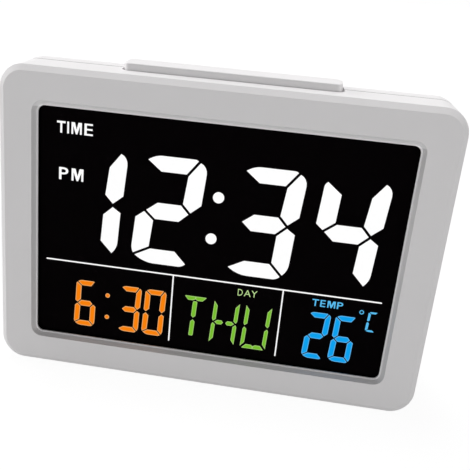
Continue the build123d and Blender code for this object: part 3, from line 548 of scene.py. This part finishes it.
# Which bars each letter lights, and on which sides (across, up) of its middle
LETTER_BARS = {
    "T": (("end", (-1, 1)), ("end", (1, 1)), ("stem", (1, 1)), ("stem", (1, -1))),
    "H": (("side", (-1, 1)), ("side", (1, 1)), ("side", (-1, -1)), ("side", (1, -1)),
          ("waist", (-1, 1)), ("waist", (1, 1))),
    "U": (("side", (-1, 1)), ("side", (1, 1)), ("side", (-1, -1)), ("side", (1, -1)),
          ("end", (-1, -1)), ("end", (1, -1))),
}


def letter(bm, name, middle, half_height, stroke, slant):
    """Draws one letter of the day from its bars, mirrored about its middle and joined where they meet."""
    drawn = []
    for bar, (across, up) in LETTER_BARS[name]:
        verts = []
        for x, y in QUARTER_BARS[bar]:
            height = up * y * half_height
            place = (middle[0] - across * x * stroke + height * slant, middle[1] + height, 0)
            verts.append(bm.verts.new(place))
        bm.faces.new(verts)
        drawn += verts
    bmesh.ops.remove_doubles(bm, verts=drawn, dist=WELD)


def lettering(bm, text, box, bold=0.0):
    """Adds a word of plain capitals, its strokes widened by a share of their size, fitted to its box (low x,
    low y, high x, high y)."""
    curve = bpy.data.curves.new(text, "FONT")
    curve.body = text
    curve.resolution_u = 3
    curve.offset = bold
    written = bpy.data.objects.new(text, curve)
    bpy.context.scene.collection.objects.link(written)
    bpy.context.view_layer.update()
    mesh = bpy.data.meshes.new_from_object(written.evaluated_get(bpy.context.evaluated_depsgraph_get()))
    bpy.data.objects.remove(written)
    bpy.data.curves.remove(curve)
    xs = [v.co.x for v in mesh.vertices]
    ys = [v.co.y for v in mesh.vertices]
    across = (box[2] - box[0]) / (max(xs) - min(xs))
    up = (box[3] - box[1]) / (max(ys) - min(ys))
    mesh.transform(Matrix.Translation((-min(xs), -min(ys), 0)))
    mesh.transform(Matrix.Translation((box[0], box[1], 0)) @ Matrix.Diagonal((across, up, 1, 1)))
    before = set(bm.faces)
    bm.from_mesh(mesh)
    bpy.data.meshes.remove(mesh)
    letters = [face for face in bm.faces if face not in before]
    bmesh.ops.remove_doubles(bm, verts=list({v for face in letters for v in face.verts}), dist=WELD)


# Half of a plain capital M, from its foot to its middle: in widths across from the side, in heights up
HALF_M = ((0, 0), (0, 1), (0.32, 1), (0.5, 0.39))
HALF_M_BACK = ((0.435, 0), (0.165, 0.72), (0.165, 0))


def capital_m(bm, box):
    """A capital M whose middle reaches its foot, mirrored about it."""
    right = [(1 - x, y) for x, y in reversed(HALF_M[:-1])]
    right_back = [(1 - x, y) for x, y in reversed(HALF_M_BACK)]
    points = list(HALF_M) + right + right_back + list(HALF_M_BACK)
    width, height = box[2] - box[0], box[3] - box[1]
    verts = [bm.verts.new((box[0] + x * width, box[1] + y * height, 0)) for x, y in points]
    bm.faces.new(verts)


# The display's layout is in tenths of a millimetre, across and down: its middle, and a unit in metres
LAYOUT_MIDDLE = (892.8, 645.2)
LAYOUT_UNIT = (0.0001, 0.0000998)

# Kinds of figure: size, strokes of the upright and the level bars, gap between bars, and slant
TIME_FIGURE = {"width": 0.0253, "height": 0.0427, "upright": 0.0077, "level": 0.0068, "gap": 0.0010,
               "slant": 0.0875}
SMALL_FIGURE = {"width": 0.0089, "height": 0.0197, "upright": 0.0025, "level": 0.0025, "gap": 0.0004,
                "slant": 0.05}
UNIT_FIGURE = {"width": 0.0041, "height": 0.0084, "upright": 0.0012, "level": 0.0010, "gap": 0.0003,
               "slant": 0.05}
DAY_LETTER = {"half_height": 0.00935, "stroke": 0.00162, "slant": 0.054}
# Each row of figures: its piece, kind, middle line, and the figures with their middles across
FIGURE_ROWS = (
    ("time_figures", TIME_FIGURE, 544.6, (("1", 410), ("2", 708.5), ("3", 1073), ("4", 1377))),
    ("alarm_figures", SMALL_FIGURE, 959, (("6", 398.7), ("3", 579.5), ("0", 678.9))),
    ("temperature_figures", SMALL_FIGURE, 959, (("2", 1319.7), ("6", 1421.8))),
    ("temperature_unit", UNIT_FIGURE, 871.8, (("C", 1519.2),)),
)
DAY_LINE = 959.5
DAY_LETTERS = (("T", 836), ("H", 961), ("U", 1086))
# The dots of the hour and the alarm: their piece, diameter and middles
DOTS = (
    ("time_figures", 0.0042, ((893.3, 465.8), (879.2, 625.8))),
    ("alarm_figures", 0.0018, ((488.6, 912.9), (488.6, 1005))),
)
DEGREE_PLACE = (1475.7, 837)
DEGREE_WIDTH = 0.0017
DEGREE_STROKE = 0.0003
# The rules: their low left and their high right corner
RULES = (
    ((235, 792.8), (1543.6, 787.8)),
    ((743.8, 1069.3), (748.8, 792)),
    ((1171, 1069.3), (1176, 792)),
)
RULE_ROUNDING = 0.00024
# The words: their piece, head and foot lines, boldness, and each letter's start and end
WORDS = (
    ("time_words", 250.4, 293.5, 0.018,
     (("T", 271.4, 303.4), ("I", 310.3, 316.9), ("M", 326.6, 365.7), ("E", 375.9, 408))),
    ("time_words", 421.5, 468, 0.014, (("P", 281.5, 317.5), ("M", 330.5, 376.2))),
    ("day_word", 810.5, 837, -0.007, (("D", 1001.5, 1020.5), ("A", 1026, 1052), ("Y", 1054, 1076.5))),
    ("temperature_word", 809.5, 837, 0.010,
     (("T", 1287, 1312), ("E", 1318, 1337.5), ("M", 1345, 1375), ("P", 1381, 1403.6))),
)
# How much of a word's boldness a letter takes, where it isn't all
LETTER_WEIGHT = {"I": 0.0, "E": 0.35, "P": 0.6}

# Colours of light, linear
LIGHTS = {
    "white_light": (1.0, 1.0, 1.0),
    "orange_light": (0.93, 0.22, 0.004),
    "orange_rim_light": (0.86, 0.42, 0.15),
    "green_light": (0.185, 0.51, 0.027),
    "green_rim_light": (0.36, 0.61, 0.17),
    "pale_green_light": (0.50, 0.72, 0.30),
    "blue_light": (0.004, 0.35, 0.84),
    "blue_rim_light": (0.12, 0.47, 0.86),
    "soft_blue_light": (0.10, 0.50, 0.86),
}
# The display's pieces, and the light of each with the light of its rims
DISPLAY_PIECES = {
    "time_figures": ("white_light",),
    "time_words": ("white_light",),
    "display_rules": ("white_light",),
    "alarm_figures": ("orange_light", "orange_rim_light"),
    "day_letters": ("green_light", "green_rim_light"),
    "day_word": ("pale_green_light",),
    "temperature_figures": ("blue_light", "blue_rim_light"),
    "temperature_word": ("soft_blue_light",),
    "temperature_unit": ("soft_blue_light",),
}


def lay(across, down):
    """A place on the display, from the layout's units to metres."""
    return ((across - LAYOUT_MIDDLE[0]) * LAYOUT_UNIT[0], (LAYOUT_MIDDLE[1] - down) * LAYOUT_UNIT[1])


def spelled(bm, head, foot, bold, letters):
    """A word whose letters each have their own place across."""
    for text, start, end in letters:
        box = (*lay(start, foot), *lay(end, head))
        if text == "M":
            capital_m(bm, box)
        else:
            lettering(bm, text, box, bold * LETTER_WEIGHT.get(text, 1.0))


def display():
    """Everything that the panel shows."""
    shapes = {name: bmesh.new() for name in DISPLAY_PIECES}
    for name, kind, line, figures in FIGURE_ROWS:
        for text, across in figures:
            figure(shapes[name], SEGMENTS[text], lay(across, line), **kind)
    for name, diameter, places in DOTS:
        for place in places:
            dot(shapes[name], *lay(*place), diameter)
    ring(shapes["temperature_unit"], *lay(*DEGREE_PLACE), DEGREE_WIDTH, DEGREE_STROKE)
    for text, across in DAY_LETTERS:
        letter(shapes["day_letters"], text, lay(across, DAY_LINE), **DAY_LETTER)
    for low, high in RULES:
        strip(shapes["display_rules"], lay(*low), lay(*high), RULE_ROUNDING)
    for name, head, foot, bold, letters in WORDS:
        spelled(shapes[name], head, foot, bold, letters)
    lit = {name: lit_film(name, colour) for name, colour in LIGHTS.items()}
    for name, lights in DISPLAY_PIECES.items():
        if len(lights) > 1:
            rimmed(shapes[name])
        film_piece(name, shapes[name], [lit[light] for light in lights], on_panel())


# Words printed on the back: the word, its middle across and up, and its length, in metres
BACK_WORDS = (
    ("MODE", -0.045, 0.0955, 0.0062),
    ("SET", -0.027, 0.0955, 0.0042),
    ("UP", -0.009, 0.0955, 0.0028),
    ("DOWN", 0.009, 0.0955, 0.0066),
    ("ALARM", 0.027, 0.0955, 0.0072),
    ("ON", 0.0530, 0.0955, 0.0028),
    ("OFF", 0.0455, 0.0955, 0.0036),
    ("DC 5V", 0.060, 0.0285, 0.0070),
)
BACK_WORD_HEIGHT = 0.0019


def back_markings():
    """The words by the keys, the slide and the inlet."""
    bm = bmesh.new()
    for text, x, z, length in BACK_WORDS:
        low = z - BACK_WORD_HEIGHT / 2
        lettering(bm, text, (-x - length / 2, low, -x + length / 2, low + BACK_WORD_HEIGHT))
    film_piece("back_markings", bm, [marking_ink()], on_back())


# The coil springs under the snooze bar, as the solids have them, and the bar's joint
SPRING_PLACE = 0.028
SPRING_Y = 0.013825
SPRING_LENGTH = 0.0131
SPRING_RADIUS = 0.0022
SPRING_WIRE = 0.0006
SPRING_TURNS = 6
STEPS_PER_TURN = 20
WIRE_SIDES = 8
snooze_press = next(joint for joint in frame["record"]["behaviour"]["joints"]
                    if joint["name"] == "snooze_press")
BAR_TRAVEL = snooze_press["range_m"][1]
SPRING_FOOT = snooze_press["deforming_nodes"][0]["fixed_end_z_m"]


def spring_coils():
    """The two coil springs, drawn at their full length."""
    bm = bmesh.new()
    steps = STEPS_PER_TURN * SPRING_TURNS
    for side in (-1, 1):
        middle = Vector((side * SPRING_PLACE, SPRING_Y, SPRING_FOOT + SPRING_WIRE / 2))
        start = (Matrix.Translation(middle + Vector((SPRING_RADIUS, 0, 0)))
                 @ Matrix.Rotation(math.pi / 2, 4, "X"))
        ends = bmesh.ops.create_circle(bm, cap_ends=True, segments=WIRE_SIDES, radius=SPRING_WIRE / 2,
                                       matrix=start)["verts"]
        bmesh.ops.spin(bm, geom=list({face for vert in ends for face in vert.link_faces}), cent=middle,
                       axis=(0, 0, 1), dvec=(0, 0, (SPRING_LENGTH - SPRING_WIRE) / steps),
                       angle=2 * math.pi * SPRING_TURNS, steps=steps)
    bmesh.ops.recalc_face_normals(bm, faces=bm.faces[:])
    for face in bm.faces:
        face.smooth = len(face.verts) < WIRE_SIDES
    coils = finished_piece("snooze_coils", bm, [FINISHES["spring_steel"]], "case")
    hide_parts("snooze_springs")
    1 - BAR_TRAVEL / SPRING_LENGTH
    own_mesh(coils)


def lamp(name, strength, spread, source):
    """A soft lamp far off, shining from this direction and not mirrored in the gloss."""
    light = bpy.data.lights.new(name, "SUN")
    light.energy = strength
    light.angle = math.radians(spread)
    lit = bpy.data.objects.new(name, light)
    lit.matrix_world = Vector(source).to_track_quat("Z", "Y").to_matrix().to_4x4()
    lit.visible_glossy = False
    bpy.context.scene.collection.objects.link(lit)


def seen_rays(s):
    """One for the rays that see the surroundings: from the camera, in gloss and through what is clear."""
    kinds = [s.node("ShaderNodeLightPath", output="Is %s Ray" % kind)
             for kind in ("Camera", "Glossy", "Transmission")]
    return s.sum("MINIMUM", kinds[0] + kinds[1] + kinds[2], 1.0)


def surroundings():
    """Even pale surroundings, which light the clock less than they show."""
    world = bpy.data.worlds.new("pale_studio")
    bpy.context.scene.world = world
    s = Shader(world)
    level = seen_rays(s) * (1 - SKY_LEVEL) + SKY_LEVEL
    sky = s.node("ShaderNodeBackground", inputs={"Color": (1, 1, 1, 1), "Strength": level})
    s.node("ShaderNodeOutputWorld", inputs={"Surface": sky})


def pale_floor():
    """Floor that shows nearly white and keeps the clock's shadow, and that gives back a plain paint's light."""
    s = shader_for("pale_floor")
    paint = s.node("ShaderNodeBsdfDiffuse", inputs={"Color": (FLOOR_TONE, FLOOR_TONE, FLOOR_TONE, 1)})
    glow = s.node("ShaderNodeEmission", inputs={"Color": (1, 1, 1, 1), "Strength": FLOOR_GLOW})
    mixed = s.node("ShaderNodeMixShader", inputs={0: seen_rays(s) * FLOOR_SHARE, 1: paint, 2: glow})
    s.node("ShaderNodeOutputMaterial", inputs={"Surface": mixed})

    bm = bmesh.new()
    bmesh.ops.create_grid(bm, x_segments=1, y_segments=1, size=FLOOR_SIZE / 2)
    mesh = bpy.data.meshes.new("floor")
    bm.to_mesh(mesh)
    bm.free()
    mesh.materials.append(s.owner)
    floor = bpy.data.objects.new("floor", mesh)
    bpy.context.scene.collection.objects.link(floor)


def camera():
    """The photograph's view."""
    lens = bpy.data.cameras.new("camera")
    lens.sensor_width = SENSOR_WIDTH
    lens.lens = FOCAL_PIXELS * SENSOR_WIDTH / PICTURE_PIXELS
    lens.clip_start = NEAR_CLIP
    eye = bpy.data.objects.new("camera", lens)
    turned = Matrix((CAMERA_RIGHT, -CAMERA_DOWN, -CAMERA_FORWARD)).transposed().to_4x4()
    eye.matrix_world = Matrix.Translation(CAMERA_PLACE) @ turned
    bpy.context.scene.collection.objects.link(eye)
    bpy.context.scene.camera = eye


finish_solids()
display()
back_markings()
spring_coils()
surroundings()
pale_floor()
for lamp_name, (strength, spread, source) in LAMPS.items():
    lamp(lamp_name, strength, spread, source)
camera()
bpy.context.scene.view_settings.view_transform = "Standard"
